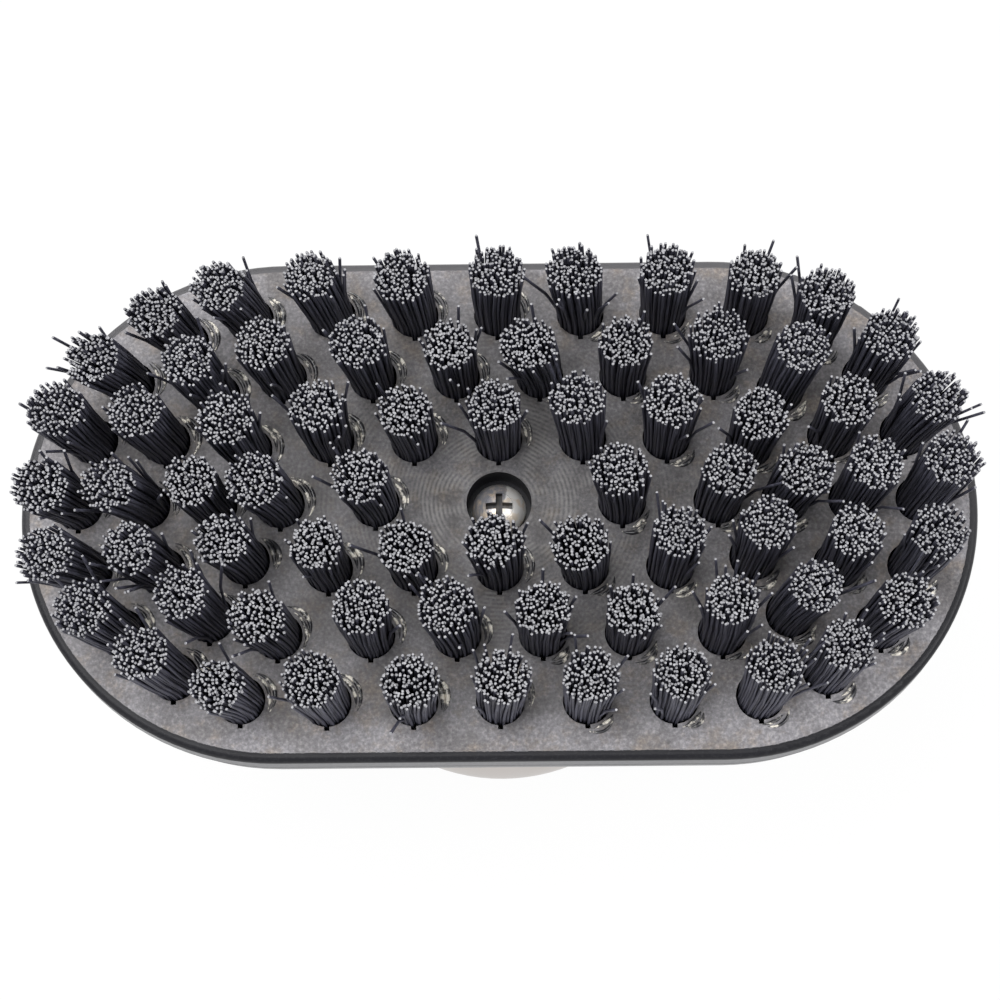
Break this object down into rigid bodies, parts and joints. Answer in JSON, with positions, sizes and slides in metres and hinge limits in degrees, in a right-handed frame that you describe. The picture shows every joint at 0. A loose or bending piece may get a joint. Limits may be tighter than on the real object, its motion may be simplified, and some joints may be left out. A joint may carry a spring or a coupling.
{
  "type": "vegetable brush",
  "caption": "Oblong hand brush with short stapled tufts in rings and rows on a moulded plastic block, and a round turned metal palm knob screwed on at its back.",
  "frame": {"origin": "centre of the flat end face of the knob, which the brush stands on with its bristles up", "axes": "+X along the block's length, +Y across the block's width, +Z from the knob to the bristles"},
  "size_m": [0.0996, 0.0542, 0.0585],
  "materials": {
    "block": "fine grained moulded plastic, dark grey",
    "knob": "satin turned",
    "screw": "polished",
    "bristle": "glossy nylon monofilament with pale cut ends",
    "anchor": "drawn flat wire"
  },
  "bodies": {
    "root": {"brush_block": "block", "palm_knob": "knob", "knob_screw": "screw", "tufts_outer_back": "bristle", "tufts_outer_front": "bristle", "tufts_outer_left": "bristle", "tufts_outer_right": "bristle", "tufts_middle_back": "bristle", "tufts_middle_front": "bristle", "tufts_middle_left": "bristle", "tufts_middle_right": "bristle", "tufts_inner_back": "bristle", "tufts_inner_front": "bristle", "tufts_inner_left": "bristle", "tufts_inner_right": "bristle", "tufts_centre_left": "bristle", "tufts_centre_right": "bristle", "anchors_outer_back": "anchor", "anchors_outer_front": "anchor", "anchors_outer_left": "anchor", "anchors_outer_right": "anchor", "anchors_middle_back": "anchor", "anchors_middle_front": "anchor", "anchors_middle_left": "anchor", "anchors_middle_right": "anchor", "anchors_inner_back": "anchor", "anchors_inner_front": "anchor", "anchors_inner_left": "anchor", "anchors_inner_right": "anchor", "anchors_centre_left": "anchor", "anchors_centre_right": "anchor"}
  },
  "joints": []
}
